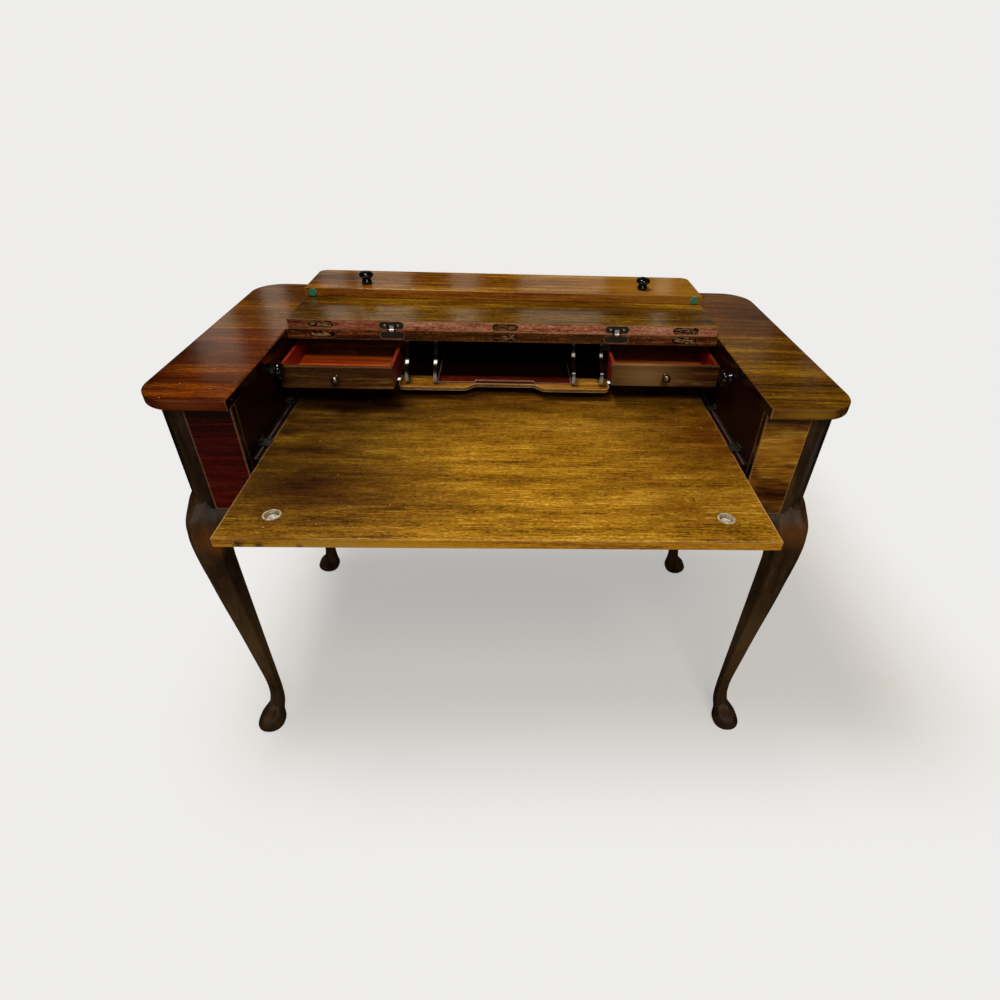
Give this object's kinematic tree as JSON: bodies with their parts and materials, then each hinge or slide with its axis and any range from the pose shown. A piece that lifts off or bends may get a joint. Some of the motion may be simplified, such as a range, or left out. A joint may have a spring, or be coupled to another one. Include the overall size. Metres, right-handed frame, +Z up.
{
  "type": "spinet writing desk",
  "caption": "Wooden spinet desk on cabriole legs, lid folded back, with a pull-out writing board, letter slots and small drawers.",
  "frame": {"origin": "on the floor under the middle of the opened desk's bounding box", "axes": "+X along the desk to the sitter's right, +Y from the sitter towards the back, +Z up"},
  "size_m": [1.082, 0.735, 0.8748],
  "materials": {
    "top_veneer": "glossy lacquered mahogany veneer, worn golden on the right",
    "board_veneer": "glossy lacquered mahogany veneer, golden brown",
    "leg_wood": "dark glossy lacquered mahogany",
    "case_veneer": "glossy lacquered mahogany veneer",
    "inner_wood": "dark stained hardwood",
    "gallery_wood": "dark stained mahogany, lacquered",
    "drawer_front_veneer": "brown lacquered mahogany",
    "drawer_wood": "red stained softwood",
    "black_lacquer": "ebonised and lacquered",
    "aged_brass": "tarnished brown",
    "steel": "worn",
    "black_iron": "black japanned",
    "nickel": "nickel plated, a little worn",
    "felt": "teal felt"
  },
  "bodies": {
    "desk": {"back_panel": "case_veneer", "board_clips": "steel", "board_stop_blocks": "inner_wood", "clip_screws": "steel", "drawer_guides": "inner_wood", "drawer_kickers": "inner_wood", "drawer_shelves": "inner_wood", "front_left_leg": "leg_wood", "front_rail": "case_veneer", "front_right_leg": "leg_wood", "gallery_back": "gallery_wood", "gallery_floor": "gallery_wood", "guide_strips": "steel", "left_block_floor": "inner_wood", "left_board_guide": "inner_wood", "left_front_panel": "case_veneer", "left_inner_divider": "gallery_wood", "left_inner_wall": "inner_wood", "left_lid_rest_knob": "black_lacquer", "left_outer_divider": "gallery_wood", "left_side_panel": "case_veneer", "left_wing_top": "top_veneer", "pen_tray": "gallery_wood", "rear_left_leg": "leg_wood", "rear_right_leg": "leg_wood", "rear_top_board": "top_veneer", "right_block_floor": "inner_wood", "right_board_guide": "inner_wood", "right_front_panel": "case_veneer", "right_inner_divider": "gallery_wood", "right_inner_wall": "inner_wood", "right_lid_rest_knob": "black_lacquer", "right_outer_divider": "gallery_wood", "right_side_panel": "case_veneer", "right_wing_top": "top_veneer", "top_hinge_ears": "steel", "top_hinge_plates": "black_iron"},
    "writing_board": {"writing_board": "board_veneer", "finger_cups": "nickel", "board_batten": "inner_wood"},
    "left_drawer": {"left_drawer_front": "drawer_front_veneer", "left_drawer_sides": "drawer_wood", "left_drawer_back": "drawer_wood", "left_drawer_bottom": "drawer_wood", "left_drawer_knob": "aged_brass"},
    "right_drawer": {"right_drawer_front": "drawer_front_veneer", "right_drawer_sides": "drawer_wood", "right_drawer_back": "drawer_wood", "right_drawer_bottom": "drawer_wood", "right_drawer_knob": "aged_brass"},
    "lid": {"lid_board": "top_veneer", "lid_hinge_plates": "black_iron", "lid_hinge_tongues": "steel", "flap_hinge_lid_leaves": "steel"},
    "flap": {"flap_board": "top_veneer", "flap_hinge_leaves": "steel", "felt_pads": "felt", "left_flap_knob": "black_lacquer", "right_flap_knob": "black_lacquer"}
  },
  "joints": [
    {"name": "writing_board_slide", "type": "slide", "parent": "desk", "child": "writing_board", "axis": [0, 1, 0], "range_m": [0, 0.1958]},
    {"name": "left_drawer_slide", "type": "slide", "parent": "desk", "child": "left_drawer", "axis": [0, 1, 0], "range_m": [-0.008, 0.09]},
    {"name": "right_drawer_slide", "type": "slide", "parent": "desk", "child": "right_drawer", "axis": [0, 1, 0], "range_m": [-0.038, 0.06]},
    {"name": "lid_hinge", "type": "hinge", "parent": "desk", "child": "lid", "pos_m": [0, 0.0815, 0.8152], "axis": [1, 0, 0], "range_deg": [0, 180]},
    {"name": "flap_hinge", "type": "hinge", "parent": "lid", "child": "flap", "pos_m": [0, 0.3363, 0.8336], "axis": [-1, 0, 0], "range_deg": [0, 90]}
  ]
}
